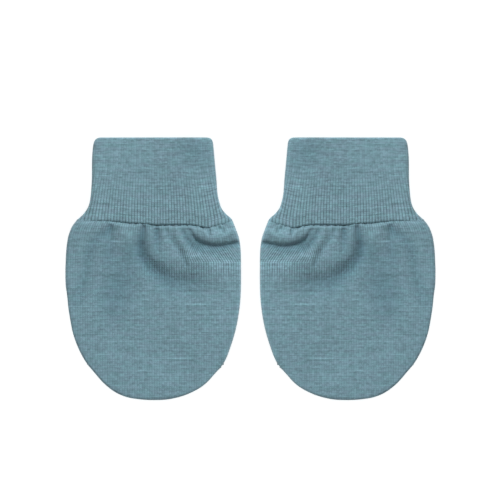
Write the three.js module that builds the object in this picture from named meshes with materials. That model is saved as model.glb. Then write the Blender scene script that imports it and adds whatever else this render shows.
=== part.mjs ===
// A pair of newborn mittens in fine jersey, laid flat side by side with the fingertips towards -Y.
// Each mitten is a hand of two panels, gathered into a wrist cuff of doubled cloth.
// Millimetres, +Z up. The origin is on the surface they lie on, at the middle of the pair.
// One mitten is described in its own frame, whose +X points to the middle of the pair.
// The other one mirrors it.

import * as THREE from 'three';

// Driving dimensions.
const HAND_HALF_WIDTH = 40;
const MITTEN_LENGTH = 119.4;
const PAIR_GAP = 8.6;
const CLOTH = 1.0;
const CUFF_CLOTH = 1.6;
const SEAM_GAP = 0.3;

// Heights above the surface that the mittens lie on.
const CUFF_HEIGHT = 3.8;
const CUFF_CROWN = 0.35;
const SEAM_HEIGHT = 3.3;
const HAND_HEIGHT = 2.8;
const HAND_CROWN = 0.8;
const LEAST_FRONT_HEIGHT = 2.45;
const GREATEST_FRONT_HEIGHT = 5.8;
const HAND_EDGE_HEIGHT = 1.2;
const EDGE_RADIUS = 1.6;

// Lengthwise places, measured from the middle of the mitten.
const OPENING_Y = MITTEN_LENGTH / 2;
const TIP_Y = -MITTEN_LENGTH / 2;
const WIDEST_Y = 0;
const SEAM_HALF_WIDTH = 35.3;
const MEAN_REACH = (HAND_HALF_WIDTH - TIP_Y) / 2;
const PUFF_RUN = 2.2;

// How square the rounded fingertips are on each side: 2 is an ellipse, and more is squarer.
const TIP_POWER = { outer: 2.285, inner: 2.5 };

// The outline above the widest line: how far each edge lies from the mitten's centre line.
const OUTLINE = [
  { y: 0, outer: 40, inner: 40 },
  { y: 8.5, outer: 39.6, inner: 39.85 },
  { y: 14, outer: 38.85, inner: 39.1 },
  { y: 16.7, outer: 38.05, inner: 38.2 },
  { y: 19.4, outer: 36.85, inner: 37.15 },
  { y: 22.2, outer: 34.75, inner: 35.85 },
  { y: 24.9, outer: 31.75, inner: 33.2 },
  { y: 27.6, outer: 29.85, inner: 31.1 },
  { y: 30.3, outer: 28.9, inner: 30.15 },
  { y: 34, outer: 28.35, inner: 29.35 },
  { y: 41, outer: 27.9, inner: 28.8 },
  { y: 50, outer: 27.8, inner: 27.95 },
  { y: 56, outer: 27.3, inner: 27.4 },
  { y: 58.4, outer: 26.6, inner: 26.95 },
  { y: 59.7, outer: 25.3, inner: 25.9 },
];

// Where the sewn edge wanders from that round: the turn in degrees from the widest line's outer end,
// past the fingertips at 90, to its inner end at 180, and how far out the edge lies there.
const EDGE_WAVES = [
  { turn: 0, out: 0 },
  { turn: 8, out: 0 },
  { turn: 15, out: -0.42 },
  { turn: 22, out: -0.2 },
  { turn: 29, out: 0.18 },
  { turn: 42, out: 0.02 },
  { turn: 50, out: -0.3 },
  { turn: 57, out: 0 },
  { turn: 66, out: 0.42 },
  { turn: 73, out: 0.45 },
  { turn: 81, out: 0.16 },
  { turn: 97, out: 0.15 },
  { turn: 108, out: -0.05 },
  { turn: 119, out: -0.38 },
  { turn: 129, out: -0.42 },
  { turn: 139, out: 0.4 },
  { turn: 147, out: 0.02 },
  { turn: 165, out: 0.18 },
  { turn: 180, out: 0 },
];

// The seam between the hand and the cuff, which dips where the gathers pull it.
const SEAM = [
  { x: -35.3, y: 22.2 },
  { x: -27.0, y: 22.0 },
  { x: -21.0, y: 21.8 },
  { x: -16.0, y: 21.4 },
  { x: -10.9, y: 20.9 },
  { x: -2.3, y: 20.5 },
  { x: 0.8, y: 19.7 },
  { x: 3.3, y: 20.0 },
  { x: 8.3, y: 20.3 },
  { x: 16.4, y: 20.1 },
  { x: 20.0, y: 19.5 },
  { x: 23.5, y: 18.6 },
  { x: 27.5, y: 19.7 },
  { x: 33.0, y: 21.0 },
  { x: 35.3, y: 22.2 },
];

// Folds in the front of the hand: a path, and the half width and the height that it adds at even
// steps along the path. The height is negative in a trough.
const FOLDS = [
  {
    name: 'gathered fullness',
    path: [[-34, 13], [-18, 14], [0, 13], [38, 12]],
    width: [9, 9],
    height: [1, 0.8],
  },
  {
    name: 'outer dimple and arc',
    path: [
      [-19.4, 20.4], [-20.2, 17], [-23.4, 14.8], [-27.6, 10.2],
      [-30, 3.5], [-31, -4.5], [-34.5, -15],
    ],
    width: [1.3, 2.3, 2.7, 3.2],
    height: [-1.4, -1.1, -0.8, -0.6],
  },
  {
    name: 'outer swell',
    path: [[-15.6, 19.3], [-10, 18.6]],
    width: [2.2, 2.4],
    height: [0.5, 0.5],
  },
  {
    name: 'palm hollow',
    path: [[-11, 8], [-13, -2], [-17, -12], [-19, -20]],
    width: [7, 8.5, 8],
    height: [-0.8, -1, -0.4],
  },
  {
    name: 'gathered bulge',
    path: [[9, 2.4], [16, 1], [25, 1.8], [39.5, 4]],
    width: [4.6, 6.4, 6.4],
    height: [1.2, 2.2, 0.9],
  },
  {
    name: 'long trough',
    path: [
      [-4.2, 19.8], [-5, 16], [-5.3, 11], [-4.2, 6], [-1.4, 1],
      [3.2, -3.6], [9, -6.6], [16, -8], [24, -8.4],
    ],
    width: [1.2, 1.9, 3, 4.1, 4.6],
    height: [-1.3, -2.6, -2.4, -1.5, -0.5],
  },
  {
    name: 'first pucker',
    path: [[1.6, 18.8], [1.9, 15.5], [1.9, 10.5]],
    width: [1.1, 1.7, 1.6],
    height: [-1.5, -1.4, -0.5],
  },
  {
    name: 'thin trough',
    path: [[6, 18.4], [9.6, 12.2], [12.6, 7.4], [15.2, 1.6]],
    width: [1.1, 1.2],
    height: [-0.9, -0.8],
  },
  {
    name: 'curved ridge',
    path: [[9.4, 18.4], [12.4, 12.6], [15.4, 8.6], [19, 5.4], [25, 4.6]],
    width: [1.5, 2.6],
    height: [1, 0.6],
  },
  {
    name: 'second pucker',
    path: [[13.8, 18.4], [15.4, 13.6]],
    width: [1.1, 1.2],
    height: [-1.2, -0.8],
  },
  {
    name: 'overhanging puff',
    path: [[21.5, 16.8], [28.5, 14.8], [38, 16.8]],
    width: [2.3, 2.2],
    height: [1, 1.2],
  },
  {
    name: 'deep crease',
    path: [
      [17.2, 18.6], [17.3, 16.2], [18.6, 13.6], [21.6, 11.4],
      [25.5, 10.6], [30.6, 10.6], [39.5, 12.6],
    ],
    width: [1.3, 1.7, 1.5],
    height: [-2.4, -2.9, -2.8],
  },
  {
    name: 'third pucker',
    path: [[25.4, 18], [25.4, 16.4]],
    width: [1.1, 1.1],
    height: [-1.3, -0.7],
  },
  {
    name: 'fourth pucker',
    path: [[30.5, 19.2], [31, 17.4]],
    width: [1.1, 1.1],
    height: [-0.8, -0.4],
  },
];

// How finely each piece is divided. The places across run from -1 at the outer edge to 1 at the
// inner one, and the places down from 0 at the seam to 1 at the widest line or the fingertips.
const EDGE_PLACES = [1, 0.99, 0.97, 0.945];
const withEdges = (places) => [...EDGE_PLACES.map((p) => -p), ...places, ...[...EDGE_PLACES].reverse()];
const FRONT_ACROSS = withEdges([...steps(-0.88, -0.3, 6), ...steps(-0.22, 0.9, 27)]);
const BACK_ACROSS = withEdges(steps(-0.84, 0.84, 8));
const FRONT_GATHERED_DOWN = [0, 0.025, ...steps(0.075, 1, 14)];
const BACK_GATHERED_DOWN = steps(0, 1, 5);
const FRONT_TIP_DOWN = [0.05, 0.11, 0.18, 0.28, 0.42, 0.56, 0.7, 0.82, 0.91, 0.96, 0.985, 1];
const BACK_TIP_DOWN = [0.2, 0.42, 0.62, 0.8, 0.92, 0.97, 1];
const CUFF_OUTSIDE_UP = [0, 0.05, 0.12, 0.2, 0.32, 0.5, 0.75, 0.9, 0.97];
const FOLDED_EDGE_TURNS = [0, 0.25, 0.5, 0.75, 1];
const CUFF_INSIDE_DOWN = [0.8, 0.35, 0.12, 0];

const cloth = (name) =>
  new THREE.MeshStandardMaterial({ name, color: 0x71909a, roughness: 0.95, metalness: 0 });

// Evenly spaced numbers from the first to the last.
function steps(first, last, count) {
  return Array.from({ length: count }, (_, i) => first + ((last - first) * i) / (count - 1));
}

function smoothStep(t) {
  const s = Math.min(Math.max(t, 0), 1);
  return s * s * (3 - 2 * s);
}

// A smooth curve through a table: the value of one column where another column has a given value.
function readTable(rows, key, value, place) {
  const last = rows.length - 1;
  const at = Math.min(Math.max(place, rows[0][key]), rows[last][key]);
  let i = 0;
  while (i < last - 1 && at > rows[i + 1][key]) i += 1;
  const slope = (k) => {
    const before = rows[Math.max(k - 1, 0)];
    const after = rows[Math.min(k + 1, last)];
    return (after[value] - before[value]) / (after[key] - before[key]);
  };
  const span = rows[i + 1][key] - rows[i][key];
  const t = (at - rows[i][key]) / span;
  const [t2, t3] = [t * t, t * t * t];
  return (
    rows[i][value] * (2 * t3 - 3 * t2 + 1) +
    rows[i + 1][value] * (3 * t2 - 2 * t3) +
    span * (slope(i) * (t3 - 2 * t2 + t) + slope(i + 1) * (t3 - t2))
  );
}

const seamY = (x) => readTable(SEAM, 'x', 'y', x);

// The x of a place across, from -1 to 1, at a given y above the widest line.
function acrossAt(place, y) {
  return place * readTable(OUTLINE, 'y', place < 0 ? 'outer' : 'inner', y);
}

// A point between the seam and the widest line.
function upperPoint(across, down, gap) {
  const top = seamY(across * SEAM_HALF_WIDTH) - gap;
  const y = top + (WIDEST_Y - top) * down;
  return new THREE.Vector2(acrossAt(across, y), y);
}

// A point between the widest line and the fingertips, which end in a rounded arc. The rows of
// points bend round with the arc, so that they meet its edge nearly square.
function tipPoint(across, down) {
  const x = across * Math.sqrt(1 - (down * down) / 2);
  const y = down * Math.sqrt(1 - (across * across) / 2);
  const power = x < 0 ? TIP_POWER.outer : TIP_POWER.inner;
  const radius = Math.hypot(x, y);
  const share = (n) => Math.pow(Math.abs(n) / radius, power);
  const turn = THREE.MathUtils.radToDeg(Math.atan2(y, -x));
  const wave = (radius * readTable(EDGE_WAVES, 'turn', 'out', turn)) / MEAN_REACH;
  const reach = Math.pow(share(x) + share(y), -1 / power) * (1 + wave);
  return new THREE.Vector2(x * reach * HAND_HALF_WIDTH, WIDEST_Y + y * reach * (TIP_Y - WIDEST_Y));
}

// The hand's edge, for measuring how far inside it a point lies. The hand is on its left. It starts
// and ends a little past the seam, so that the seam itself doesn't count as an edge.
const HAND_EDGE = [
  ...steps(-0.1, 0.95, 24).map((down) => upperPoint(-1, down, 0)),
  ...steps(0, 0.95, 20).map((down) => tipPoint(-1, down)),
  ...steps(-1, 1, 60).map((across) => tipPoint(across, 1)),
  ...steps(0.95, 0, 20).map((down) => tipPoint(1, down)),
  ...steps(0.95, -0.1, 24).map((down) => upperPoint(1, down, 0)),
];

// The value at a place from 0 to 1 among values at even steps.
function spread(values, place) {
  const at = place * (values.length - 1);
  const i = Math.min(Math.floor(at), values.length - 2);
  return values[i] + (values[i + 1] - values[i]) * (at - i);
}

// The distance from a point to a path, how far along the path the nearest place is, 0 to 1, and
// the direction to the left of the path there.
function nearestOnPath(path, x, y) {
  const nearest = { distance: Infinity, place: 0, left: new THREE.Vector2() };
  for (let i = 0; i + 1 < path.length; i += 1) {
    const [a, b] = [path[i], path[i + 1]];
    const [dx, dy] = [b.x - a.x, b.y - a.y];
    const along = ((x - a.x) * dx + (y - a.y) * dy) / (dx * dx + dy * dy || 1);
    const t = Math.min(Math.max(along, 0), 1);
    const distance = Math.hypot(x - a.x - t * dx, y - a.y - t * dy);
    if (distance < nearest.distance) {
      nearest.distance = distance;
      nearest.place = (i + t) / (path.length - 1);
      nearest.left.set(-dy, dx).normalize();
    }
  }
  return nearest;
}

// The folds with their paths drawn as smooth curves.
const foldCurves = FOLDS.map((fold) => {
  const corners = fold.path.map(([x, y]) => new THREE.Vector3(x, y, 0));
  return { ...fold, curve: new THREE.CatmullRomCurve3(corners).getSpacedPoints(24) };
});

function foldHeight({ curve, width, height }, x, y) {
  const { distance, place } = nearestOnPath(curve, x, y);
  return spread(height, place) * Math.exp(-((distance / spread(width, place)) ** 2));
}

// How far a rounded edge has risen at a distance inside it, 0 at the edge and 1 past its radius.
function roundedEdge(distance, radius) {
  const away = 1 - Math.min(distance / radius, 1);
  return Math.sqrt(1 - away * away);
}

// Keeps the height between two limits, bending smoothly into the lower one.
function limitHeight(z, least, most) {
  const above = z - least;
  const soft = 0.5 * (above + Math.sqrt(above * above + 0.3));
  return Math.min(least + soft, most);
}

// The height of a panel's edge at the side seam: side is 1 for the front and -1 for the back.
const seamEdgeHeight = (side) => HAND_EDGE_HEIGHT + (side * SEAM_GAP) / 2;

// The outer face of the front panel away from its edge.
function frontTop(x, y) {
  const crown = HAND_CROWN * (1 - Math.min(Math.hypot(x, y) / HAND_HALF_WIDTH, 1) ** 2);
  const folds = foldCurves.reduce((sum, fold) => sum + foldHeight(fold, x, y), 0);
  const free = limitHeight(HAND_HEIGHT + crown + folds, LEAST_FRONT_HEIGHT, GREATEST_FRONT_HEIGHT);
  return SEAM_HEIGHT + (free - SEAM_HEIGHT) * smoothStep((seamY(x) - y) / PUFF_RUN);
}

// The outer face of the back panel away from its edge, flat where it rests.
const backBottom = () => 0;

// A point of a panel's outer face, which bends round to the side seam at its edge, and the
// direction out of the cloth there. side is 1 for the front and -1 for the back.
function facePoint({ x, y }, levelAt, side) {
  const { distance, left } = nearestOnPath(HAND_EDGE, x, y);
  const edge = seamEdgeHeight(side);
  const rise = levelAt(x, y) - edge;
  const risen = roundedEdge(distance, EDGE_RADIUS);
  const steepness = (rise * (1 - Math.min(distance / EDGE_RADIUS, 1))) / EDGE_RADIUS;
  const step = 0.05;
  const slopeX = (levelAt(x + step, y) - levelAt(x - step, y)) / (2 * step);
  const slopeY = (levelAt(x, y + step) - levelAt(x, y - step)) / (2 * step);
  const outward = new THREE.Vector3(
    -steepness * left.x - risen * risen * slopeX,
    -steepness * left.y - risen * risen * slopeY,
    risen,
  );
  return {
    point: new THREE.Vector3(x, y, edge + rise * risen),
    outward: outward.multiplyScalar(side).normalize(),
  };
}

// The places of a grid's points round its edge: down the outer side, across the fingertips, up the
// inner side and back along the seam.
function gridEdge(rows, columns) {
  return [
    ...steps(0, rows - 1, rows).map((j) => [j, 0]),
    ...steps(1, columns - 2, columns - 2).map((i) => [rows - 1, i]),
    ...steps(rows - 1, 0, rows).map((j) => [j, columns - 1]),
    ...steps(columns - 2, 1, columns - 2).map((i) => [0, i]),
  ];
}

// Two triangles for a square of four points in turn, split along its shorter diagonal.
function square(points, a, b, c, d) {
  const first = points[a].distanceTo(points[c]);
  const second = points[b].distanceTo(points[d]);
  return first <= second ? [a, b, c, a, c, d] : [b, c, d, b, d, a];
}

function solid(points, triangles) {
  const geometry = new THREE.BufferGeometry().setFromPoints(points);
  geometry.setIndex(triangles);
  geometry.computeVertexNormals();
  return geometry;
}

// The point of a panel's inner face behind a point of its outer face. The inner face stays on its
// own side of the gap between the panels.
function innerPoint({ point, outward }, side) {
  const inner = point.clone().addScaledVector(outward, -CLOTH);
  const limit = seamEdgeHeight(side);
  inner.z = side > 0 ? Math.max(inner.z, limit) : Math.min(inner.z, limit);
  return inner;
}

// A panel of the hand: a wall of cloth behind its outer face. side is 1 for the front, whose
// outer face is up, and -1 for the back. Along the seam the wall ends in a square cut.
function panelGeometry({ across, gatheredDown, tipDown, levelAt, side }) {
  const flatRows = [
    ...gatheredDown.map((down) => across.map((place) => upperPoint(place, down, SEAM_GAP / 2))),
    ...tipDown.map((down) => across.map((place) => tipPoint(place, down))),
  ];
  const face = flatRows.map((row) => row.map((flat) => facePoint(flat, levelAt, side)));
  for (const { outward } of face[0]) outward.setY(0).normalize();
  const outer = face.flat().map(({ point }) => point);
  const inner = face.flat().map((place) => innerPoint(place, side));
  const points = [...outer, ...inner];
  const [rows, columns] = [flatRows.length, across.length];
  const at = (j, i) => j * columns + i;
  const behind = (index) => index + rows * columns;
  const triangles = [];
  for (let j = 0; j + 1 < rows; j += 1) {
    for (let i = 0; i + 1 < columns; i += 1) {
      const corners = [at(j, i), at(j + 1, i), at(j + 1, i + 1), at(j, i + 1)];
      triangles.push(...square(points, ...corners));
      triangles.push(...square(points, ...corners.map(behind).reverse()));
    }
  }
  const edge = gridEdge(rows, columns).map(([j, i]) => at(j, i));
  edge.forEach((a, n) => {
    const b = edge[(n + 1) % edge.length];
    triangles.push(...square(points, behind(a), behind(b), b, a));
  });
  return solid(points, side > 0 ? triangles : triangles.reverse());
}

// A point of the cuff's outer face, on its front or its back, at a place across and a given y.
function cuffPoint(place, y, isFront) {
  const x = acrossAt(place, y);
  const edge = acrossAt(place < 0 ? -1 : 1, y);
  const middle = CUFF_HEIGHT / 2;
  const rounded = middle * roundedEdge(Math.abs(edge - x), middle);
  const crown = CUFF_CROWN * (1 - place * place);
  return new THREE.Vector3(x, y, isFront ? middle + rounded + crown : middle - rounded);
}

// The y of a place up the cuff, from 0 at the seam to 1 where the folded edge begins.
function cuffY(place, up) {
  const bottom = seamY(place * SEAM_HALF_WIDTH) + SEAM_GAP / 2;
  return bottom + (OPENING_Y - CUFF_CLOTH / 2 - bottom) * up;
}

// A closed ring of points round the cuff, a given distance inside its outer face. yAt gives the
// y of each place across.
function cuffRing(yAt, inset) {
  const loop = [
    ...FRONT_ACROSS.map((place) => cuffPoint(place, yAt(place), true)),
    ...BACK_ACROSS.slice(1, -1).reverse().map((place) => cuffPoint(place, yAt(place), false)),
  ];
  return loop.map((point, k) => {
    const before = loop[(k + loop.length - 1) % loop.length];
    const after = loop[(k + 1) % loop.length];
    const outward = new THREE.Vector3(before.z - after.z, 0, after.x - before.x).normalize();
    return point.clone().addScaledVector(outward, -inset);
  });
}

// The cuff: a flattened tube of doubled cloth, folded over at the opening. Its rings of points go
// up the outside from the seam, over the folded edge and down the inside.
function cuffGeometry() {
  const radius = CUFF_CLOTH / 2;
  const foldedEdge = (turn) => {
    const y = OPENING_Y - radius + radius * Math.sin(turn * Math.PI);
    return cuffRing(() => y, radius - radius * Math.cos(turn * Math.PI));
  };
  const rings = [
    ...CUFF_OUTSIDE_UP.map((up) => cuffRing((place) => cuffY(place, up), 0)),
    ...FOLDED_EDGE_TURNS.map(foldedEdge),
    ...CUFF_INSIDE_DOWN.map((up) => cuffRing((place) => cuffY(place, up), CUFF_CLOTH)),
  ];
  const count = rings[0].length;
  const points = rings.flat();
  const triangles = [];
  rings.forEach((_, j) => {
    const [row, nextRow] = [j * count, ((j + 1) % rings.length) * count];
    for (let k = 0; k < count; k += 1) {
      const beside = (k + 1) % count;
      triangles.push(...square(points, row + k, row + beside, nextRow + beside, nextRow + k));
    }
  });
  return solid(points, triangles);
}

// One mitten in its own frame. The outer side of the pair is its -X side.
function mitten(name) {
  const pieces = {
    hand_front: panelGeometry({
      across: FRONT_ACROSS,
      gatheredDown: FRONT_GATHERED_DOWN,
      tipDown: FRONT_TIP_DOWN,
      levelAt: frontTop,
      side: 1,
    }),
    hand_back: panelGeometry({
      across: BACK_ACROSS,
      gatheredDown: BACK_GATHERED_DOWN,
      tipDown: BACK_TIP_DOWN,
      levelAt: backBottom,
      side: -1,
    }),
    cuff: cuffGeometry(),
  };
  const group = new THREE.Group();
  for (const [piece, geometry] of Object.entries(pieces)) {
    const mesh = new THREE.Mesh(geometry, cloth(`${piece}_jersey`));
    mesh.name = `${name}_${piece}`;
    group.add(mesh);
  }
  return group;
}

const centreX = PAIR_GAP / 2 + HAND_HALF_WIDTH;
const left = mitten('left');
left.position.x = -centreX;
const right = mitten('right');
right.position.x = centreX;
right.scale.x = -1;

const pair = new THREE.Group();
pair.add(left, right);

export default pair;
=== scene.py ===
"""A pair of newborn mittens in heathered grey-blue jersey, laid flat side by side.

Each mitten is a hand of two panels, gathered into a wrist cuff that is folded double at its opening.
The left mitten is worked out in its own frame, in millimetres: x towards the middle of the pair, y from
the fingertips to the opening, z up from the floor. The right mitten is its mirror image.
"""
import math

import bpy
import numpy as np
from mathutils import Matrix, Vector


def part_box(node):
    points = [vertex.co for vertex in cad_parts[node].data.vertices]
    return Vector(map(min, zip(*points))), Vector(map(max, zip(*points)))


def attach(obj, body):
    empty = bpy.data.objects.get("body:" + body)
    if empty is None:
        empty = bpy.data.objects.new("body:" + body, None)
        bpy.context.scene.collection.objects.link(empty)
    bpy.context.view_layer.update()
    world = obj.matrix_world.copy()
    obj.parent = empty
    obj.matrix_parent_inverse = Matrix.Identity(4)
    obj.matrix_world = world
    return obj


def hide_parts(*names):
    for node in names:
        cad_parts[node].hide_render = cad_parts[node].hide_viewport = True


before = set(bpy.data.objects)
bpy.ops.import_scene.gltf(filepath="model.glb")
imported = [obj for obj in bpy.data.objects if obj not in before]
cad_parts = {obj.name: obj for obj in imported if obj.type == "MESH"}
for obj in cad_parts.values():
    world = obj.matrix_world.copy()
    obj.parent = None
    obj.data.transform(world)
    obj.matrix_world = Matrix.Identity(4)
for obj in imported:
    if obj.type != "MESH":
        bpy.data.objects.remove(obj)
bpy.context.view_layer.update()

MM = 0.001

# Sizes of a mitten, in millimetres.
HAND_HALF_WIDTH = 40.0
MITTEN_LENGTH = 119.4
OPENING_Y = MITTEN_LENGTH / 2
TIP_Y = -MITTEN_LENGTH / 2
WIDEST_Y = 0.0
SEAM_HALF_WIDTH = 35.3
MEAN_REACH = (HAND_HALF_WIDTH - TIP_Y) / 2
CLOTH = 1.0
CUFF_CLOTH = 1.6

# The light: how strong each part of it is, and where the left mitten's lamp stands, in metres. The
# right one's mirrors it.
LAMP_ENERGY = 16.4
LAMP_SIZE = (0.5, 0.3)
LAMP_PLACE = (0.38, 0.82, 0.74)
LAMP_AIM_X = -0.044
SKY_STRENGTH = 0.55
FLOOR_GLOW = 0.6

# How square the rounded fingertips are on each side: 2 is an ellipse, and more is squarer.
TIP_POWER = {"outer": 2.285, "inner": 2.5}

# Heights above the floor.
CUFF_HEIGHT = 3.8
CUFF_CROWN = 0.35
CUFF_LIFT = 1.0
HAND_HEIGHT = 2.8
HAND_CROWN = 0.8
LEAST_FRONT_HEIGHT = 1.75
GREATEST_FRONT_HEIGHT = 6.6
DITCH_DEPTH = 1.3
TUCK = 0.8
TUCKED_HEIGHT = 2.3
HAND_EDGE_HEIGHT = 1.2
SEAM_OVERLAP = 0.1
EDGE_RADIUS = 1.15
BACK_TUCK_HEIGHT = 0.5
RUFFLE_HEIGHT = {"outer": 0.05, "inner": 0.18}

# How far from the seam its height, its ditch and the painted shade in the ditch reach, and where folds end.
SEAM_REACH = 8.0
DITCH_REACH = 0.7
DITCH_SHADE_REACH = 0.6
CUFF_SEAM_REACH = 10.0
CUFF_SEAM_RADIUS = 1.1
FOLDS_END = 1.7

# How much painted shade darkens the ditch on each side of the seam, and the cloth where it turns down
# at its rims, with painted light in place of shade where the amount is negative.
HAND_DITCH_SHADE = 0.22
CUFF_DITCH_SHADE = 0.21
HAND_RIM_PAINTED_SHADE = -0.12
OPENING_RIM_PAINTED_SHADE = -0.12
CUFF_RIM_PAINTED_SHADE = {"outer": -0.15, "inner": 0.1}
RIM_WIDTH = 0.9

# Where the cloth beside an overhung fold leans most, and the half width of what leans.
LEAN_AT = 1.5
LEAN_WIDTH = 1.1

# The knit: how far apart its rows and columns of stitches are, and how many columns cross the hand.
COURSE = 0.95
HAND_WALES = 71
CUFF_WALE = 1.17
CUFF_WALE_AT_SEAM = 1.29
CUFF_KNIT_LENGTH = 38

# How far the columns on the hand are dragged sideways for each millimetre up under the deep crease,
# and how much the cuff's columns fan out with its flare.
WALE_DRAG = 0.65
WALE_FAN = 0.45

# Columns of points across each panel, and rows of points above and below its widest line.
FRONT_GRID = (190, 64, 110)
BACK_GRID = (90, 24, 50)

# The outline above the widest line: how far each edge lies from the mitten's centre line.
OUTLINE = [
    {"y": 0.0, "outer": 40.0, "inner": 40.0},
    {"y": 8.5, "outer": 39.6, "inner": 39.85},
    {"y": 14.0, "outer": 38.85, "inner": 39.1},
    {"y": 16.7, "outer": 38.05, "inner": 38.2},
    {"y": 19.4, "outer": 36.85, "inner": 37.15},
    {"y": 22.2, "outer": 34.75, "inner": 36.0},
    {"y": 23.2, "outer": 33.55, "inner": 35.2},
    {"y": 24.9, "outer": 31.75, "inner": 33.2},
    {"y": 27.6, "outer": 29.85, "inner": 31.1},
    {"y": 30.3, "outer": 28.9, "inner": 30.15},
    {"y": 34.0, "outer": 28.35, "inner": 29.35},
    {"y": 41.0, "outer": 27.9, "inner": 28.8},
    {"y": 50.0, "outer": 27.8, "inner": 27.95},
    {"y": 56.0, "outer": 27.3, "inner": 27.4},
    {"y": 58.4, "outer": 26.6, "inner": 26.95},
    {"y": 59.7, "outer": 25.3, "inner": 25.9},
]

# Where the sewn edge wanders from that round: the turn in degrees from the widest line's outer end,
# past the fingertips at 90, to its inner end at 180, and how far out the edge lies there.
EDGE_WAVES = [
    {"turn": 0, "out": 0.0},
    {"turn": 7, "out": 0.0},
    {"turn": 12, "out": -0.4},
    {"turn": 17, "out": -0.28},
    {"turn": 22, "out": -0.15},
    {"turn": 29, "out": 0.26},
    {"turn": 42, "out": 0.14},
    {"turn": 50, "out": -0.27},
    {"turn": 57, "out": 0.05},
    {"turn": 66, "out": 0.42},
    {"turn": 73, "out": 0.38},
    {"turn": 81, "out": 0.12},
    {"turn": 97, "out": 0.1},
    {"turn": 108, "out": -0.12},
    {"turn": 116, "out": -0.18},
    {"turn": 122, "out": -0.1},
    {"turn": 126, "out": -0.16},
    {"turn": 131, "out": -0.27},
    {"turn": 139, "out": 0.34},
    {"turn": 147, "out": 0.02},
    {"turn": 165, "out": 0.18},
    {"turn": 180, "out": 0.0},
]

# The seam between the hand and the cuff: its course, how high the cloth lies there, and how much of
# a ditch there is along it, 0 for none and 1 for a deep one, which also scales the painted shade in it.
SEAM = [
    {"x": -35.3, "y": 22.2, "level": 4.0, "ditch": 0.0},
    {"x": -27.0, "y": 22.0, "level": 4.0, "ditch": 0.05},
    {"x": -22.0, "y": 21.9, "level": 3.9, "ditch": 0.2},
    {"x": -16.0, "y": 21.4, "level": 3.8, "ditch": 0.28},
    {"x": -10.9, "y": 20.9, "level": 3.7, "ditch": 0.32},
    {"x": -2.3, "y": 20.5, "level": 3.6, "ditch": 0.3},
    {"x": 0.8, "y": 19.8, "level": 3.5, "ditch": 0.65},
    {"x": 3.3, "y": 19.9, "level": 3.5, "ditch": 0.65},
    {"x": 7.6, "y": 20.0, "level": 3.5, "ditch": 0.6},
    {"x": 12.2, "y": 20.0, "level": 3.5, "ditch": 0.5},
    {"x": 16.4, "y": 20.0, "level": 3.5, "ditch": 0.5},
    {"x": 20.0, "y": 19.4, "level": 3.5, "ditch": 0.32},
    {"x": 23.5, "y": 18.6, "level": 3.5, "ditch": 0.42},
    {"x": 27.5, "y": 19.6, "level": 3.5, "ditch": 0.34},
    {"x": 33.0, "y": 21.0, "level": 3.5, "ditch": 0.28},
    {"x": 35.3, "y": 22.2, "level": 3.5, "ditch": 0.25},
]
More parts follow.
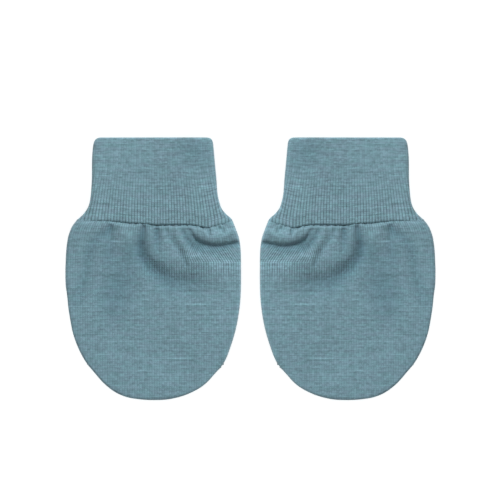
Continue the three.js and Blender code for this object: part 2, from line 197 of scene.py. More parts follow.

# Folds in the front of the hand: a path, the half width and the height that it adds at even steps
# along the path, negative in a trough, and how much painted shade darkens its bottom. Some are lopsided,
# wider on their right than on their left, and over some the cloth on their left leans.
FOLDS = [
    {
        "name": "gathered fullness",
        "path": [(-34.0, 13.0), (-18.0, 14.0), (0.0, 13.0), (38.0, 12.0)],
        "width": (9.0, 9.0),
        "height": (1.0, 0.8),
        "shade": 0.0,
    },
    {
        "name": "outer dimple and arc",
        "path": [
            (-19.4, 19.2), (-20.6, 16.8), (-24.4, 14.6), (-27.6, 10.8),
            (-29.6, 5.0), (-30.8, -2.0), (-34.5, -15.0),
        ],
        "width": (1.6, 2.5, 3.0, 3.4),
        "height": (-1.2, -0.9, -0.7, -0.5),
        "shade": 0.24,
    },
    {
        "name": "dimple fan",
        "path": [(-19.2, 17.0), (-19.4, 11.0), (-20.6, 4.0)],
        "width": (2.6, 3.2),
        "height": (-0.5, -0.4),
        "shade": 0.13,
    },
    {
        "name": "outer swell",
        "path": [(-13.6, 19.0), (-12.4, 14.0), (-10.8, 9.0)],
        "width": (3.2, 3.6),
        "height": (0.9, 0.5),
        "shade": 0.0,
    },
    {
        "name": "palm hollow",
        "path": [(-11.0, 8.0), (-13.0, -2.0), (-16.4, -11.0), (-18.0, -19.0)],
        "width": (7.0, 8.5, 8.0),
        "height": (-0.8, -1.0, -0.6),
        "shade": 0.16,
    },
    {
        "name": "inner fullness",
        "path": [(30.0, -27.0), (39.0, -24.0)],
        "width": (14.0, 14.0),
        "height": (0.9, 0.9),
        "shade": 0.0,
    },
    {
        "name": "gathered bulge",
        "path": [(8.0, 3.8), (14.0, 3.0), (21.0, 1.9), (28.0, -0.2), (39.5, -2.5)],
        "width": (4.5, 6.0, 6.5),
        "height": (0.5, 1.7, 1.4),
        "shade": 0.0,
        "lopsided": (0.35, 0.35),
    },
    {
        "name": "long trough",
        "path": [
            (-4.4, 19.0), (-5.2, 16.0), (-5.8, 11.0), (-5.0, 6.2), (-1.8, 1.6),
            (3.4, -2.5), (9.0, -5.2), (16.0, -6.4), (24.0, -7.0),
        ],
        "width": (1.6, 2.4, 3.4, 4.5, 5.0),
        "height": (-1.4, -2.2, -1.9, -1.4, -0.5),
        "shade": 0.38,
        "lopsided": (-0.25, -0.15, -0.05, 0.2, 0.3),
    },
    {
        "name": "first pucker",
        "path": [(1.7, 17.8), (1.8, 14.5), (1.8, 9.0)],
        "width": (1.3, 1.8, 2.2),
        "height": (-1.3, -1.0, -0.5),
        "shade": 0.3,
    },
    {
        "name": "thin trough",
        "path": [(6.2, 17.0), (8.0, 14.4), (10.0, 11.4), (12.4, 8.2), (14.0, 5.0), (15.2, 1.6)],
        "width": (1.8, 1.6, 1.1),
        "height": (-0.5, -0.5, -0.6),
        "shade": 0.11,
    },
    {
        "name": "curved ridge",
        "path": [(11.0, 18.2), (12.2, 15.0), (14.0, 11.8), (16.6, 7.8), (20.0, 5.6), (26.0, 4.2)],
        "width": (1.8, 2.2, 2.6),
        "height": (0.4, 0.8, 0.4),
        "shade": 0.0,
        "lopsided": (0.3, 0.4),
    },
    {
        "name": "second pucker",
        "path": [(13.5, 17.2), (14.5, 14.8), (15.9, 12.2), (18.2, 9.4), (21.0, 7.6)],
        "width": (1.2, 1.6, 1.8),
        "height": (-0.7, -1.0, -0.5),
        "shade": 0.26,
    },
    {
        "name": "overhanging puff",
        "path": [(21.5, 16.4), (28.5, 14.6), (38.0, 16.6)],
        "width": (2.4, 2.3),
        "height": (1.0, 1.1),
        "shade": 0.0,
    },
    {
        "name": "deep crease",
        "path": [
            (17.1, 17.0), (17.7, 15.4), (19.3, 13.6), (22.0, 11.9),
            (25.5, 10.9), (30.6, 10.6), (39.5, 12.1),
        ],
        "width": (1.4, 1.9, 1.8),
        "height": (-0.8, -1.5, -1.5),
        "shade": 0.28,
        "lopsided": (0.2, 0.32),
        "overhang": 0.35,
    },
    {
        "name": "foot of the crease",
        "path": [(19.8, 10.4), (23.5, 8.6), (29.0, 8.2), (33.0, 8.8)],
        "width": (2.0, 2.3),
        "height": (-0.5, -0.2),
        "shade": 0.14,
    },
    {
        "name": "third pucker",
        "path": [(25.4, 17.2), (25.5, 15.8)],
        "width": (0.9, 0.9),
        "height": (-1.0, -0.6),
        "shade": 0.2,
    },
    {
        "name": "fourth pucker",
        "path": [(30.0, 18.6), (32.0, 16.9)],
        "width": (0.9, 1.0),
        "height": (-0.7, -0.5),
        "shade": 0.15,
    },
]

# The slight waves of the cloth: how fast each changes along x and y, in radians for a millimetre.
WAVES = [
    {"along_x": 0.31, "along_y": 0.12, "phase": 0.4},
    {"along_x": -0.17, "along_y": 0.27, "phase": 1.9},
    {"along_x": 0.08, "along_y": -0.35, "phase": 3.1},
    {"along_x": 0.52, "along_y": 0.33, "phase": 5.0},
    {"along_x": -0.45, "along_y": 0.5, "phase": 2.2},
]
WAVE_HEIGHT = 0.035

# Slubs, the thick places in the yarn that show as light dashes: the middle and the half length.
SLUBS = [
    {"x": -3.0, "y": -13.8, "half_length": 2.6},
    {"x": 19.8, "y": -16.2, "half_length": 5.2},
    {"x": 12.0, "y": -40.6, "half_length": 6.5},
    {"x": -4.8, "y": -46.2, "half_length": 2.2},
    {"x": -16.4, "y": 12.4, "half_length": 2.2},
    {"x": -31.6, "y": 6.0, "half_length": 0.9},
    {"x": 35.4, "y": 4.0, "half_length": 1.6},
    {"x": 22.4, "y": 37.5, "half_length": 2.6},
]

# Where the knit on the hand is stretched open: a path, how many points draw it, how far from it the
# stretch reaches and how much it is. Elsewhere it is the least stretch.
STRETCHED = [
    {"path": [(0, 1), (10, -1.5), (22, -1), (36, 1)], "points": 20, "reach": 4.6, "amount": 0.7},
    {"path": [(15, 8), (24, 6.5), (34, 7)], "points": 16, "reach": 3.4, "amount": 1.1},
    {"path": [(-33.0, 20.5), (-20.0, 20.0), (-6.0, 19.0)], "points": 3, "reach": 4.0, "amount": 0.4},
]
LEAST_STRETCH = 0.25
GREATEST_STRETCH = 1.35

# Broad patches of painted shade, or of painted light where negative, and their half widths.
PAINTED_SHADE_PATCHES = [
    {"x": 20.0, "y": 54.0, "size": 9.0, "darker": 0.13},
    {"x": -7.0, "y": 45.0, "size": 7.0, "darker": 0.03},
    {"x": 0.0, "y": 28.0, "size": 8.0, "darker": 0.03},
    {"x": 7.0, "y": 38.0, "size": 9.0, "darker": 0.02},
    {"x": -27.0, "y": 42.0, "size": 7.0, "darker": -0.06},
    {"x": -25.0, "y": 30.0, "size": 6.0, "darker": -0.03},
    {"x": -30.0, "y": 18.5, "size": 6.0, "darker": -0.05},
    {"x": -14.0, "y": 13.0, "size": 5.0, "darker": -0.08},
    {"x": -9.0, "y": 9.0, "size": 4.0, "darker": 0.04},
    {"x": 0.5, "y": 15.0, "size": 3.0, "darker": 0.04},
    {"x": 4.5, "y": 3.5, "size": 4.5, "darker": 0.06},
    {"x": 20.0, "y": -0.5, "size": 4.5, "darker": 0.05},
    {"x": 29.0, "y": 15.0, "size": 4.0, "darker": -0.09},
    {"x": 19.0, "y": 5.8, "size": 3.5, "darker": -0.06},
    {"x": 36.0, "y": 5.0, "size": 4.5, "darker": -0.09},
    {"x": 33.0, "y": -9.0, "size": 9.0, "darker": -0.09},
    {"x": 5.0, "y": -8.0, "size": 5.0, "darker": 0.04},
    {"x": 28.0, "y": -27.0, "size": 9.0, "darker": -0.03},
    {"x": 2.0, "y": -48.0, "size": 9.0, "darker": -0.05},
    {"x": -12.0, "y": -34.0, "size": 10.0, "darker": -0.06},
    {"x": -29.0, "y": -21.0, "size": 6.0, "darker": -0.04},
    {"x": -18.0, "y": -12.0, "size": 7.0, "darker": 0.05},
    {"x": -22.0, "y": 10.0, "size": 5.0, "darker": 0.03},
    {"x": -37.0, "y": 2.0, "size": 7.0, "darker": -0.05},
]


def smooth_step(t):
    s = np.clip(t, 0.0, 1.0)
    return s * s * (3 - 2 * s)


def read_table(rows, key, value, place):
    """A smooth curve through a table: one column's value where another column has a given value."""
    keys = np.array([row[key] for row in rows])
    values = np.array([row[value] for row in rows])
    at = np.clip(place, keys[0], keys[-1])
    i = np.clip(np.searchsorted(keys, at, side="right") - 1, 0, len(keys) - 2)
    before = np.maximum(np.arange(len(keys)) - 1, 0)
    after = np.minimum(np.arange(len(keys)) + 1, len(keys) - 1)
    slopes = (values[after] - values[before]) / (keys[after] - keys[before])
    span = keys[i + 1] - keys[i]
    t = (at - keys[i]) / span
    rise = values[i] * (2 * t**3 - 3 * t**2 + 1) + values[i + 1] * (3 * t**2 - 2 * t**3)
    return rise + span * (slopes[i] * (t**3 - 2 * t**2 + t) + slopes[i + 1] * (t**3 - t**2))


def seam_y(x):
    return read_table(SEAM, "x", "y", x)


def half_width(across, y):
    """How far the edge on this side lies from the centre line, above the widest line."""
    outer = read_table(OUTLINE, "y", "outer", y)
    inner = read_table(OUTLINE, "y", "inner", y)
    return np.where(across < 0, outer, inner)


def upper_points(across, down, above=0.0):
    """Points of the hand from a little above the seam to the widest line."""
    top = seam_y(across * SEAM_HALF_WIDTH) + above
    y = top + (WIDEST_Y - top) * down
    return across * half_width(across, y), y


def tip_points(across, down):
    """Points of the hand between the widest line and the fingertips, in rows that bend with its edge."""
    x = across * np.sqrt(1 - down**2 / 2)
    y = down * np.sqrt(1 - across**2 / 2)
    power = np.where(x < 0, TIP_POWER["outer"], TIP_POWER["inner"])
    radius = np.maximum(np.hypot(x, y), 1e-9)
    squarer = ((np.abs(x) / radius) ** power + (np.abs(y) / radius) ** power) ** (-1 / power)
    wave = read_table(EDGE_WAVES, "turn", "out", np.degrees(np.arctan2(y, -x)))
    reach = squarer * (1 + wave * radius / MEAN_REACH)
    return x * reach * HAND_HALF_WIDTH, WIDEST_Y + y * reach * (TIP_Y - WIDEST_Y)


def smooth_path(corners, count):
    """A curve through a few points, as Catmull and Rom draw it."""
    p = np.array([corners[0], *corners, corners[-1]], dtype=float)
    t = np.linspace(0, len(corners) - 1, count)
    i = np.minimum(t.astype(int), len(corners) - 2)
    t = (t - i)[:, None]
    a, b, c, d = p[i], p[i + 1], p[i + 2], p[i + 3]
    return 0.5 * (2 * b + (c - a) * t + (2 * a - 5 * b + 4 * c - d) * t**2 + (3 * b - a - 3 * c + d) * t**3)


def nearest_on_path(path, x, y):
    """How far each point lies from a path, how far along it the nearest place is, 0 to 1, and the
    step from there to the point, with 1 if that is to the left of the path and -1 if to the right."""
    best = np.full(np.shape(x), np.inf)
    place, away_x, away_y, side = (np.zeros(np.shape(x)) for _ in range(4))
    for i in range(len(path) - 1):
        (ax, ay), (bx, by) = path[i], path[i + 1]
        dx, dy = bx - ax, by - ay
        t = np.clip(((x - ax) * dx + (y - ay) * dy) / (dx * dx + dy * dy), 0, 1)
        ox, oy = x - ax - t * dx, y - ay - t * dy
        distance = np.hypot(ox, oy)
        nearer = distance < best
        best = np.where(nearer, distance, best)
        place = np.where(nearer, (i + t) / (len(path) - 1), place)
        away_x, away_y = np.where(nearer, ox, away_x), np.where(nearer, oy, away_y)
        side = np.where(nearer, np.sign(dx * oy - dy * ox), side)
    return best, place, away_x, away_y, side


def hand_edge():
    """The hand's edge from a little past the seam, round the fingertips and back."""
    side = np.linspace(-0.1, 0.97, 30)
    tip = np.linspace(0, 0.97, 26)
    across = np.linspace(-1, 1, 70)
    stretches = [
        upper_points(np.full_like(side, -1.0), side),
        tip_points(np.full_like(tip, -1.0), tip),
        tip_points(across, np.ones_like(across)),
        tip_points(np.ones_like(tip), tip[::-1]),
        upper_points(np.ones_like(side), side[::-1]),
    ]
    return np.concatenate([np.stack(s, axis=1) for s in stretches])


HAND_EDGE = hand_edge()


def rounded_edge(distance, radius):
    """How far a rounded edge has risen at a distance inside it, 0 at the edge and 1 past its radius."""
    away = 1 - np.clip(distance / radius, 0, 1)
    return np.sqrt(1 - away**2)


def limit_height(z, least, most):
    """Keeps the height between two limits, bending smoothly into the lower one."""
    above = z - least
    return np.minimum(least + 0.5 * (above + np.sqrt(above**2 + 0.3)), most)


def spread(values, place):
    """The value at a place from 0 to 1 among values at even steps."""
    return np.interp(place, np.linspace(0, 1, len(values)), values)


def clear_of_seam(x, y):
    """0 at the seam and above it, where the cloth is held flat, and 1 a little below it."""
    return smooth_step((seam_y(x) - y) / FOLDS_END)


def fold_profile(fold, x, y):
    """How much of a fold each point has, 1 on its path, and the point's place along it."""
    distance, place, _, _, side = nearest_on_path(smooth_path(fold["path"], 33), x, y)
    width = spread(fold["width"], place) * (1 - spread(fold.get("lopsided", (0.0, 0.0)), place) * side)
    return np.exp(-((distance / width) ** 2)), place


def fold_heights(x, y):
    """The height that the folds add."""
    total = np.zeros_like(x)
    for fold in FOLDS:
        share, place = fold_profile(fold, x, y)
        total += spread(fold["height"], place) * share
    return total * clear_of_seam(x, y)


def fold_shade(x, y):
    """The painted shade at the bottoms of the troughs, where less light reaches them."""
    light = np.ones_like(x)
    for fold in FOLDS:
        share, place = fold_profile(fold, x, y)
        depth = spread(fold["height"], place) / min(fold["height"])
        light *= 1 - fold["shade"] * depth * share
    return (1 - light) * clear_of_seam(x, y)


def lean_over(x, y):
    """Moves the cloth beside some folds over them, as it droops there."""
    new_x, new_y = x.copy(), y.copy()
    for fold in FOLDS:
        if "overhang" not in fold:
            continue
        distance, place, away_x, away_y, side = nearest_on_path(smooth_path(fold["path"], 40), x, y)
        ends = smooth_step(place / 0.3)
        near = np.exp(-(((distance - LEAN_AT) / LEAN_WIDTH) ** 2))
        share = near * (side > 0) * ends * fold["overhang"]
        new_x -= share * away_x / np.maximum(distance, 1e-6)
        new_y -= share * away_y / np.maximum(distance, 1e-6)
    return new_x, new_y


def unevenness(x, y):
    """The slight waves of cloth that lies loosely."""
    total = np.zeros_like(x)
    for wave in WAVES:
        total += np.sin(wave["along_x"] * x + wave["along_y"] * y + wave["phase"])
    return total * WAVE_HEIGHT


def seam_ruffles(x, y):
    """The small gathers under the seam, which are deeper towards the inner side."""
    below = np.maximum(seam_y(x) - y, 0)
    inner_share = smooth_step((x + 14) / 12)
    size = RUFFLE_HEIGHT["outer"] + (RUFFLE_HEIGHT["inner"] - RUFFLE_HEIGHT["outer"]) * inner_share
    waves = np.sin(1.9 * x + 0.6) + 0.8 * np.sin(2.7 * x + 2.0 * np.sin(0.4 * x))
    waves = waves + 0.5 * np.sin(4.3 * x + 1.1)
    return size * waves * np.exp(-((below - 0.8) / 2.6) ** 2)


def seam_ditch(x, y, reach):
    """How much of the seam's height or ditch the cloth has: 1 on it and above it, and 0 well below."""
    return np.exp(-((np.maximum(seam_y(x) - y, 0) / reach) ** 2))


def front_height(x, y):
    """The outer face of the front panel."""
    crown = HAND_CROWN * (1 - np.minimum(np.hypot(x, y) / HAND_HALF_WIDTH, 1.0) ** 2)
    flat = HAND_HEIGHT + crown
    flat = flat + (read_table(SEAM, "x", "level", x) - flat) * seam_ditch(x, y, SEAM_REACH)
    height = flat + fold_heights(x, y)
    free = limit_height(height, LEAST_FRONT_HEIGHT, GREATEST_FRONT_HEIGHT)
    free = free + unevenness(x, y) + seam_ruffles(x, y)
    ditch = read_table(SEAM, "x", "ditch", x)
    under_cuff = smooth_step((y - seam_y(x) - 0.3 * (1 - ditch)) / 0.4)
    free = free - DITCH_DEPTH * ditch * seam_ditch(x, y, DITCH_REACH)
    free = free + (TUCKED_HEIGHT - free) * under_cuff
    distance, *_ = nearest_on_path(HAND_EDGE, x, y)
    edge = HAND_EDGE_HEIGHT - SEAM_OVERLAP / 2
    return edge + (free - edge) * rounded_edge(distance, EDGE_RADIUS)


def back_height(x, y):
    """The outer face of the back panel, flat where it rests and turned up to the side seam."""
    distance, *_ = nearest_on_path(HAND_EDGE, x, y)
    edge = HAND_EDGE_HEIGHT + SEAM_OVERLAP / 2
    tuck = BACK_TUCK_HEIGHT * smooth_step((y - seam_y(x)) / 0.4)
    return edge * (1 - rounded_edge(distance, EDGE_RADIUS)) + tuck


def places_across(count):
    """Places from one edge to the other, closer together where the cloth bends at the edges."""
    edge = np.array([1.0, 0.996, 0.988, 0.976, 0.96])
    middle = np.linspace(-0.945, 0.945, count)
    return np.concatenate([-edge, middle, edge[::-1]])


def hand_rows(columns, upper, tip):
    """A grid of points over the hand, in rows from the seam to the fingertips."""
    across = places_across(columns)
    near_seam = np.linspace(0, 1, upper) ** 1.25
    near_tip = np.concatenate([np.linspace(0, 0.955, tip)[1:], [0.97, 0.982, 0.991, 0.997, 1.0]])
    rows = [upper_points(across, np.full_like(across, d), TUCK) for d in near_seam]
    rows += [tip_points(across, np.full_like(across, d)) for d in near_tip]
    return np.array([r[0] for r in rows]), np.array([r[1] for r in rows])


def grid_normals(x, y, height_at, side):
    """The direction out of each point of a grid, level along the free edge of the hand."""
    step = 0.1
    slope_x = (height_at(x + step, y) - height_at(x - step, y)) / (2 * step)
    slope_y = (height_at(x, y + step) - height_at(x, y - step)) / (2 * step)
    normals = np.stack([-slope_x, -slope_y, np.ones_like(x)], axis=2) * side
    rows, columns = x.shape
    edge = [(j, 0) for j in range(rows)]
    edge += [(rows - 1, i) for i in range(1, columns - 1)]
    edge += [(j, columns - 1) for j in range(rows - 1, -1, -1)]
    along_x = np.gradient(np.array([x[at] for at in edge]))
    along_y = np.gradient(np.array([y[at] for at in edge]))
    for at, dx, dy in zip(edge, along_x, along_y):
        normals[at] = (dy, -dx, 0)
    normals[0, :, 1] = 0
    return normals / np.maximum(np.linalg.norm(normals, axis=2, keepdims=True), 1e-12)


def wale_shift(x, y):
    """How far the columns of the knit are dragged sideways under the deep crease."""
    return WALE_DRAG * np.clip(y - 3.0, 0, 9.0) * smooth_step((x - 10) / 12)


def hand_knit(x, y):
    """The knit's own coordinates on the hand: columns across, rows along, and how far it is stretched."""
    upper_half = np.where(y > WIDEST_Y, half_width(x, np.maximum(y, WIDEST_Y)), HAND_HALF_WIDTH)
    wales = (x * HAND_HALF_WIDTH / upper_half + wale_shift(x, y)) * HAND_WALES / (2 * HAND_HALF_WIDTH)
    stretch = np.full_like(x, LEAST_STRETCH)
    for place in STRETCHED:
        distance, *_ = nearest_on_path(smooth_path(place["path"], place["points"]), x, y)
        stretch += place["amount"] * np.exp(-((distance / place["reach"]) ** 2))
    return wales, y / COURSE, np.minimum(stretch, GREATEST_STRETCH)


def slub_marks(x, y):
    """1 along each slub's middle, and 0 away from them."""
    marks = np.zeros_like(x)
    for slub in SLUBS:
        along = (x - slub["x"]) / slub["half_length"]
        bend = 0.12 * np.sin(along * 2.2 + slub["x"])
        mark = np.exp(-(along**4)) * np.exp(-(((y - slub["y"] - bend) / 0.3) ** 2))
        marks = np.maximum(marks, mark)
    return marks


def painted_patch_shade(x, y):
    """The painted shade in broad patches, or painted light where it is negative."""
    total = np.zeros_like(x)
    for patch in PAINTED_SHADE_PATCHES:
        distance = np.hypot(x - patch["x"], y - patch["y"])
        total += patch["darker"] * np.exp(-((distance / patch["size"]) ** 2))
    return total


def rim_painted_shade(rim, darker):
    """Painted shade where the cloth turns down at its rim, or painted light where the amount is negative."""
    return darker * np.exp(-((rim / RIM_WIDTH) ** 2))


def build_mesh(name, grid, faces, knit, marks, shade, mirrored):
    """A mesh from a list of points, with the knit's coordinates, its stretch, its slubs and its painted
    shade.
    """
    points = grid.reshape(-1, 3) * MM
    if mirrored:
        points = points * (-1, 1, 1)
        faces = faces[:, ::-1]
    mesh = bpy.data.meshes.new(name)
    mesh.from_pydata(points.tolist(), [], faces.tolist())
    uv = mesh.uv_layers.new(name="knit")
    corners = np.empty(len(mesh.loops), dtype=np.int32)
    mesh.loops.foreach_get("vertex_index", corners)
    uv.data.foreach_set("uv", np.stack([knit[0].ravel(), knit[1].ravel()], axis=1)[corners].ravel())
    for key, values in (("stretch", knit[2]), ("slub", marks), ("shade", shade)):
        attribute = mesh.attributes.new(key, "FLOAT", "POINT")
        attribute.data.foreach_set("value", values.ravel().astype(np.float32))
    mesh.polygons.foreach_set("use_smooth", np.ones(len(mesh.polygons), dtype=bool))
    mesh.update()
    piece = bpy.data.objects.new(name, mesh)
    bpy.context.scene.collection.objects.link(piece)
    return piece


def grid_faces(rows, columns, start=0, closed=False):
    """Quads over a grid of points. closed joins the last column to the first."""
    j = np.arange(rows - 1)[:, None]
    i = np.arange(columns if closed else columns - 1)[None, :]
    beside = (i + 1) % columns
    quads = [j * columns + i, (j + 1) * columns + i, (j + 1) * columns + beside, j * columns + beside]
    return start + np.stack(np.broadcast_arrays(*quads), axis=2).reshape(-1, 4)


def panel(name, height_at, side, grid, mirrored):
    """A panel of the hand: a closed wall of cloth behind its outer face. side is 1 for the front and
    -1 for the back."""
    x, y = hand_rows(*grid)
    outer = np.stack([x, y, height_at(x, y)], axis=2)
    inner = outer - grid_normals(x, y, height_at, side) * CLOTH
    if side > 0:
        outer[..., 0], outer[..., 1] = lean_over(x, y)
    limit = HAND_EDGE_HEIGHT - side * SEAM_OVERLAP / 2
    inner[..., 2] = np.maximum(inner[..., 2], limit) if side > 0 else np.minimum(inner[..., 2], limit)
    rows, count = x.shape
    front = grid_faces(rows, count)
    behind = front[:, ::-1] + rows * count
    edge = [j * count for j in range(rows)]
    edge += [(rows - 1) * count + i for i in range(1, count)]
    edge += [j * count + count - 1 for j in range(rows - 2, -1, -1)]
    edge += [i for i in range(count - 2, 0, -1)]
    a = np.array(edge)
    b = np.roll(a, -1)
    rim = np.stack([a + rows * count, b + rows * count, b, a], axis=1)
    faces = np.concatenate([front, behind, rim])
    if side < 0:
        faces = faces[:, ::-1]
    wales, courses, stretch = hand_knit(x, y)
    marks = np.zeros_like(x)
    shade = np.zeros_like(x)
    if side > 0:
        marks = slub_marks(x, y)
        # The painted shade on the front: in the seam's ditch, at the bottoms of the troughs and in broad
        # patches, with painted light along the rim.
        ditch = read_table(SEAM, "x", "ditch", x)
        at_seam = HAND_DITCH_SHADE * seam_ditch(x, y, DITCH_SHADE_REACH) * ditch
        rim, *_ = nearest_on_path(HAND_EDGE, x, y)
        shade = at_seam + fold_shade(x, y) + painted_patch_shade(x, y) + rim_painted_shade(rim, HAND_RIM_PAINTED_SHADE)
    points = np.concatenate([outer, inner])
    both_faces = [np.concatenate([values, values]) for values in (wales, courses, stretch, marks, shade)]
    return build_mesh(name, points, faces, both_faces[:3], *both_faces[3:], mirrored)


def cuff_face(place, y, is_front):
    """Points of the cuff's outer face."""
    edge = half_width(place, y)
    x = place * edge
    middle = CUFF_HEIGHT / 2
    rounded = middle * rounded_edge(edge - np.abs(x), middle)
    crown = CUFF_CROWN * (1 - place**2) + unevenness(x * 0.8, y) * 1.2 * (1 - place**4)
    crown = crown + CUFF_LIFT * smooth_step((y - 38) / 22) * smooth_step((place + 0.4) / 1.3) * (1 - place**8)
    z = middle + rounded + crown if is_front else middle - rounded
    if is_front:
        above_seam = y - seam_y(place * SEAM_HALF_WIDTH)
        level = read_table(SEAM, "x", "level", place * SEAM_HALF_WIDTH)
        z = z * (1 + (level / CUFF_HEIGHT - 1) * (1 - smooth_step(above_seam / CUFF_SEAM_REACH)))
        ditch = DITCH_DEPTH * read_table(SEAM, "x", "ditch", place * SEAM_HALF_WIDTH)
        share = 1 - rounded_edge(above_seam, CUFF_SEAM_RADIUS)
        z = z - ditch * share * np.clip((z - middle) / middle, 0, 1)
    return np.stack([x, y, z], axis=-1)


def cuff_knit(x, y):
    """The columns of the knit on the cuff, which spread a little towards the seam, and its stretch."""
    open_share = smooth_step((51 - y) / 26)
    pitch = CUFF_WALE + (CUFF_WALE_AT_SEAM - CUFF_WALE) * open_share
    edge = half_width(x, y)
    flare = edge - half_width(x, np.full_like(y, 40.0))
    fan = WALE_FAN * flare * np.clip(np.abs(x) / edge, 0, 1) ** 3 * np.sign(x)
    return (x - fan) / pitch, 0.12 + 0.88 * open_share


def cuff_ring(y_at, inset):
    """A closed ring of points round the cuff, a given distance inside its outer face."""
    front, back = places_across(150), places_across(80)[1:-1][::-1]
    loop = np.concatenate([cuff_face(front, y_at(front), True), cuff_face(back, y_at(back), False)])
    before, after = np.roll(loop, 1, axis=0), np.roll(loop, -1, axis=0)
    outward = np.stack([before[:, 2] - after[:, 2], np.zeros(len(loop)), after[:, 0] - before[:, 0]], axis=1)
    outward /= np.linalg.norm(outward, axis=1, keepdims=True)
    return loop - outward * inset


def cuff(name, mirrored):
    """The cuff: a flattened tube that runs up from the seam, over its folded edge and down inside."""
    radius = CUFF_CLOTH / 2

    def y_up(up):
        def y_at(place):
            bottom = seam_y(place * SEAM_HALF_WIDTH)
            return bottom + (OPENING_Y - radius - bottom) * up
        return y_at

    rings = []
    along = []
    outside = np.concatenate([[0, 0.004, 0.009, 0.015, 0.022], np.linspace(0.03, 1, 95)])
    for up in outside:
        rings.append(cuff_ring(y_up(up), 0))
        along.append(up * CUFF_KNIT_LENGTH / COURSE)
    for turn in np.linspace(0, math.pi, 9)[1:-1]:
        y = OPENING_Y - radius + radius * math.sin(turn)
        rings.append(cuff_ring(lambda place: np.full_like(place, y), radius - radius * math.cos(turn)))
        along.append((CUFF_KNIT_LENGTH + radius * turn) / COURSE)
    for up in np.linspace(1, 0, 40):
        rings.append(cuff_ring(y_up(up), CUFF_CLOTH))
        along.append((CUFF_KNIT_LENGTH + radius * math.pi + (1 - up) * CUFF_KNIT_LENGTH) / COURSE)
    grid = np.array(rings)
    rows, count = grid.shape[:2]
    courses = np.repeat(np.array(along)[:, None], count, axis=1)
    faces = grid_faces(rows, count, closed=True)
    last = (rows - 1) * count + np.arange(count)
    first = np.arange(count)
    join = np.stack([last, first, np.roll(first, -1), np.roll(last, -1)], axis=1)
    faces = np.concatenate([faces, join])[:, ::-1]
    x, y = grid[..., 0], grid[..., 1]
    # The painted shade on the cuff: in the seam's ditch and in broad patches, with painted shade along its
    # inner side and painted light along its outer side and at the opening.
    near_seam = np.exp(-(((y - seam_y(x)) / DITCH_SHADE_REACH) ** 2))
    side_painted_shade = np.where(x > 0, CUFF_RIM_PAINTED_SHADE["inner"], CUFF_RIM_PAINTED_SHADE["outer"])
    shade = CUFF_DITCH_SHADE * near_seam * read_table(SEAM, "x", "ditch", x)
    shade = shade + painted_patch_shade(x, y) + rim_painted_shade(half_width(x, y) - np.abs(x), side_painted_shade)
    shade = shade + rim_painted_shade(OPENING_Y - y, OPENING_RIM_PAINTED_SHADE)
    wales, stretch = cuff_knit(x, y)
    return build_mesh(name, grid, faces, (wales, courses, stretch), slub_marks(x, y), shade, mirrored)


class Nodes:
    """A material's node tree, with short ways to add the nodes that the jersey needs."""

    def __init__(self, material):
        self.tree = material.node_tree
        self.tree.nodes.clear()

    def add(self, kind, inputs=None, **settings):
        node = self.tree.nodes.new(kind)
        for key, value in settings.items():
            setattr(node, key, value)
        for key, value in (inputs or {}).items():
            if isinstance(value, bpy.types.NodeSocket):
                self.tree.links.new(value, node.inputs[key])
            else:
                node.inputs[key].default_value = value
        return node

    def math(self, operation, a, b=0.0, c=0.0, clamp=False):
        node = self.add("ShaderNodeMath", {0: a, 1: b, 2: c}, operation=operation, use_clamp=clamp)
        return node.outputs[0]

    def more(self, light, pattern, share):
        """The lightness with a share of a pattern added, which is about a half on average."""
        return self.math("MULTIPLY_ADD", self.math("SUBTRACT", pattern, 0.5), share, light)

    def mix(self, factor, a, b):
        """A colour between two others, mixed as vectors, whose inputs are the node's fifth and sixth."""
        node = self.add("ShaderNodeMix", {"Factor": factor, 4: a, 5: b}, data_type="VECTOR")
        return node.outputs[1]

    def attribute(self, name):
        return self.add("ShaderNodeAttribute", attribute_name=name).outputs["Fac"]

    def combine(self, x, y, z=0.0):
        return self.add("ShaderNodeCombineXYZ", {0: x, 1: y, 2: z}).outputs[0]

    def noise(self, u, v, seed, detail=2.0, roughness=0.5):
        """Noise over the knit: u is (coordinate, how fast it changes across), and v the same along."""
        place = self.combine(self.math("MULTIPLY", *u), self.math("MULTIPLY", *v), seed)
        inputs = {"Vector": place, "Scale": 1.0, "Detail": detail, "Roughness": roughness}
        return self.add("ShaderNodeTexNoise", inputs).outputs["Fac"]

    def ramp(self, value, low, high):
        """0 below low and 1 above high, with a smooth step between."""
        inputs = {"Value": value, "From Min": low, "From Max": high}
        return self.add("ShaderNodeMapRange", inputs, interpolation_type="SMOOTHSTEP").outputs[0]


# Colours of the cloth, and how its fibres differ from them, some greener and some redder. The painted
# shade is tinted bluer, as deep in a fold the cloth lights itself.
HAND_COLOUR = (0.127, 0.224, 0.266)
CUFF_COLOUR = (0.128, 0.223, 0.263)
GREENER = (0.955, 1.02, 0.99)
REDDER = (1.05, 0.985, 1.01)
SHADED = (0.84, 1.01, 1.07)


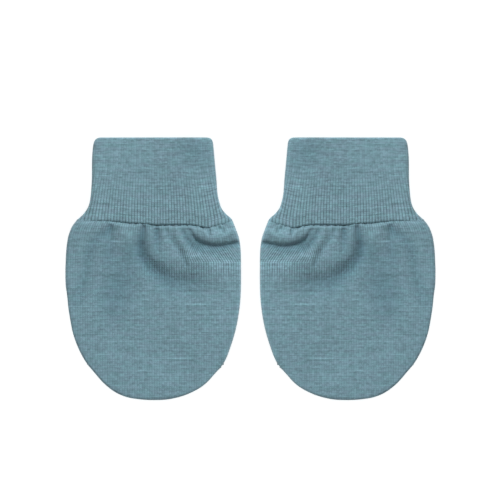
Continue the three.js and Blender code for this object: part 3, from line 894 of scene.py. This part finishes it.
def jersey(name, colour, streaks, seed):
    """Heathered jersey: columns of V stitches, streaks along the rows, light slubs, a soft fuzz and painted
    shade.
    streaks is how strong the streaks are."""
    material = bpy.data.materials.new(name)
    material.use_nodes = True
    n = Nodes(material)
    uv = n.add("ShaderNodeUVMap", uv_map="knit").outputs[0]
    parts = n.add("ShaderNodeSeparateXYZ", {0: uv})
    u, v = parts.outputs[0], parts.outputs[1]
    stretch = n.attribute("stretch")

    # Across a column: 0 in its middle and 1 in the gap between two columns.
    from_middle = n.math("MULTIPLY", n.math("PINGPONG", n.math("ADD", u, 0.5), 0.5), -2.0)
    side = n.math("ADD", from_middle, 1.0)
    gap = n.math("POWER", side, 2.6)
    legs = n.math("MULTIPLY_ADD", side, 0.6, v)
    stitch = n.math("MULTIPLY_ADD", n.math("COSINE", n.math("MULTIPLY", legs, 2 * math.pi)), 0.5, 0.5)

    # Lightness of the yarn, which changes along each row, from stitch to stitch and at slubs.
    streak = n.noise((u, 0.09), (v, 1.2), seed, 3.0, 0.6)
    band = n.noise((u, 0.035), (v, 0.8), seed + 2.0, 1.0)
    slub = n.noise((u, 0.1), (v, 0.8), seed + 7.0)
    cell = n.combine(n.math("FLOOR", n.math("ADD", u, 0.5)), n.math("FLOOR", legs), seed)
    speck = n.add("ShaderNodeTexWhiteNoise", {"Vector": cell}, noise_dimensions="3D").outputs["Value"]
    cloud = n.noise((u, 0.05), (v, 0.05), seed + 3.0)
    dash = n.noise((u, 0.45), (v, 1.7), seed + 5.0, 2.0, 0.6)
    light = n.more(1.0, streak, 0.55 * streaks)
    light = n.more(light, band, 0.4)
    light = n.more(light, dash, 0.8)
    light = n.more(light, speck, 0.26)
    light = n.more(light, cloud, 0.06)
    light = n.math("MULTIPLY_ADD", n.ramp(slub, 0.66, 0.78), 0.2, light)
    light = n.math("MULTIPLY_ADD", n.attribute("slub"), 0.4, light)
    # Painted shade in the gaps between columns, stronger where the knit is stretched open and uneven from
    # place to place, while the yarn is made a little lighter where stretched.
    gap_shade_variation = n.noise((u, 0.8), (v, 0.3), seed + 9.0, 2.0, 0.6)
    gap_shade = n.math("MULTIPLY", n.math("MULTIPLY", gap, stretch), n.math("MULTIPLY_ADD", gap_shade_variation, 1.3, -0.1))
    light = n.math("MULTIPLY", light, n.math("SUBTRACT", n.math("MULTIPLY_ADD", stretch, 0.16, 0.96), gap_shade))
    # The painted shade that the mesh carries darkens the yarn.
    light = n.math("MULTIPLY", light, n.math("SUBTRACT", 1.0, n.attribute("shade")))
    hue = n.noise((u, 0.16), (v, 0.5), seed + 11.0, 3.0, 0.6)
    greener, redder = ([part * share for part, share in zip(colour, tint)] for tint in (GREENER, REDDER))
    fibre = n.mix(n.ramp(hue, 0.3, 0.7), greener, redder)
    # The painted shade's bluer colour, mixed in as far as the painted shade is strong; depth here is that
    # share of painted shade.
    shaded_fibre = n.add("ShaderNodeVectorMath", {0: fibre, 1: SHADED}, operation="MULTIPLY").outputs[0]
    depth = n.math("MULTIPLY", n.attribute("shade"), 2.2, clamp=True)
    cloth = n.mix(depth, fibre, shaded_fibre)
    yarn = n.add("ShaderNodeVectorMath", {0: cloth, "Scale": light}, operation="SCALE").outputs[0]

    height = n.math("MULTIPLY", n.math("SUBTRACT", 1.0, gap), n.math("MULTIPLY_ADD", stitch, 0.4, 0.6))
    height = n.math("MULTIPLY", height, n.math("MULTIPLY_ADD", stretch, 0.7, 0.3))
    fuzz = n.noise((u, 3.0), (v, 3.0), seed)
    height = n.math("MULTIPLY_ADD", fuzz, 0.25, height)
    bump = n.add("ShaderNodeBump", {"Height": height, "Strength": 0.8, "Distance": 0.25 * MM}).outputs[0]
    shader = n.add("ShaderNodeBsdfPrincipled", {
        "Base Color": yarn,
        "Roughness": 0.92,
        "Specular IOR Level": 0.2,
        "Sheen Weight": 0.15,
        "Sheen Roughness": 0.6,
        "Normal": bump,
    })
    n.add("ShaderNodeOutputMaterial", {"Surface": shader.outputs[0]})
    return material


MATERIALS = {
    "hand_front": jersey("hand_front_jersey", HAND_COLOUR, 1.0, 1.0),
    "hand_back": jersey("hand_back_jersey", HAND_COLOUR, 1.0, 4.0),
    "cuff": jersey("cuff_jersey", CUFF_COLOUR, 1.5, 8.0),
}


def dress(piece, part, node):
    """Gives a piece its finish, hangs it under the root body and hides the solid that it stands for."""
    piece.data.materials.append(MATERIALS[part])
    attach(piece, "root")
    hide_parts(node)


def mitten(name, mirrored):
    """The three pieces of a mitten, in the place of its solids."""
    centre_x = (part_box(f"{name}_hand_front")[0][0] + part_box(f"{name}_hand_front")[1][0]) / 2
    pieces = {
        "hand_front": panel(f"{name}_front_cloth", front_height, 1, FRONT_GRID, mirrored),
        "hand_back": panel(f"{name}_back_cloth", back_height, -1, BACK_GRID, mirrored),
        "cuff": cuff(f"{name}_cuff_cloth", mirrored),
    }
    for part, piece in pieces.items():
        piece.data.transform(Matrix.Translation((centre_x, 0, 0)))
        dress(piece, part, f"{name}_{part}")
    return list(pieces.values())


def stage(mittens):
    """A white floor under an even light, and for each mitten a lamp beyond its opening, on its inner side."""
    bpy.ops.mesh.primitive_plane_add(size=3.0, location=(0, 0, -0.0001))
    floor = bpy.context.object
    floor.name = "floor"
    material = bpy.data.materials.new("floor_white")
    material.use_nodes = True
    shader = material.node_tree.nodes["Principled BSDF"]
    shader.inputs["Base Color"].default_value = (0.95, 0.95, 0.95, 1)
    shader.inputs["Roughness"].default_value = 0.8
    floor.data.materials.append(material)
    world = bpy.data.worlds.new("studio")
    bpy.context.scene.world = world
    world.use_nodes = True
    world.node_tree.nodes["Background"].inputs["Color"].default_value = (1, 1, 1, 1)
    world.node_tree.nodes["Background"].inputs["Strength"].default_value = SKY_STRENGTH
    shader.inputs["Emission Color"].default_value = (1, 1, 1, 1)
    shader.inputs["Emission Strength"].default_value = FLOOR_GLOW
    for name, mirror in (("left", 1), ("right", -1)):
        lamp = bpy.data.lights.new(f"key_{name}", "AREA")
        lamp.shape = "RECTANGLE"
        lamp.size, lamp.size_y = LAMP_SIZE
        lamp.energy = LAMP_ENERGY
        place = bpy.data.objects.new(f"key_{name}", lamp)
        place.location = (mirror * LAMP_PLACE[0], LAMP_PLACE[1], LAMP_PLACE[2])
        aim = Vector((mirror * LAMP_AIM_X, 0, 0)) - place.location
        place.rotation_euler = aim.to_track_quat("-Z", "Y").to_euler()
        bpy.context.scene.collection.objects.link(place)
        receivers = bpy.data.collections.new(f"lit_by_key_{name}")
        for piece in mittens[name]:
            receivers.objects.link(piece)
        place.light_linking.receiver_collection = receivers


def camera():
    """A long lens straight above, framed as the photo."""
    frame_width, middle_y, lens, sensor = 0.2273, 0.00855, 150, 36
    data = bpy.data.cameras.new("camera")
    data.lens = lens
    data.sensor_width = sensor
    view = bpy.data.objects.new("camera", data)
    view.location = (-0.0002, middle_y, 0.003 + frame_width * lens / sensor)
    bpy.context.scene.collection.objects.link(view)
    bpy.context.scene.camera = view


stage({"left": mitten("left", False), "right": mitten("right", True)})
camera()
bpy.context.scene.view_settings.view_transform = "Standard"
